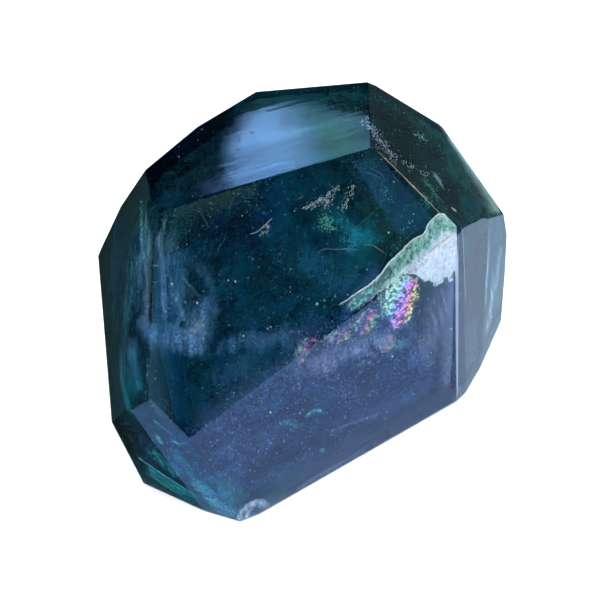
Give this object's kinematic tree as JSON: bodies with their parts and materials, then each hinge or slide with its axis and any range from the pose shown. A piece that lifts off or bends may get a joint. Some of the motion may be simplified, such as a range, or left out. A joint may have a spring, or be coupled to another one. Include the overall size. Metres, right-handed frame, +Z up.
{
  "type": "fluorite freeform",
  "caption": "Polished freeform of dark teal and violet fluorite with flat facets on every side, standing on a flat cut base.",
  "frame": {"origin": "middle of the stone's footprint box, on the plane of its flat base", "axes": "+Z up from the base; +X to the right and -Y towards a viewer who faces the large sloping face and the skirt below it"},
  "size_m": [0.0502, 0.0478, 0.0358],
  "materials": {
    "fluorite": "polished, see-through, with fine polishing lines",
    "inclusions": "pearly cleavage films, veils and specks inside the crystal"
  },
  "bodies": {
    "root": {"fluorite_freeform": "fluorite"}
  },
  "joints": []
}
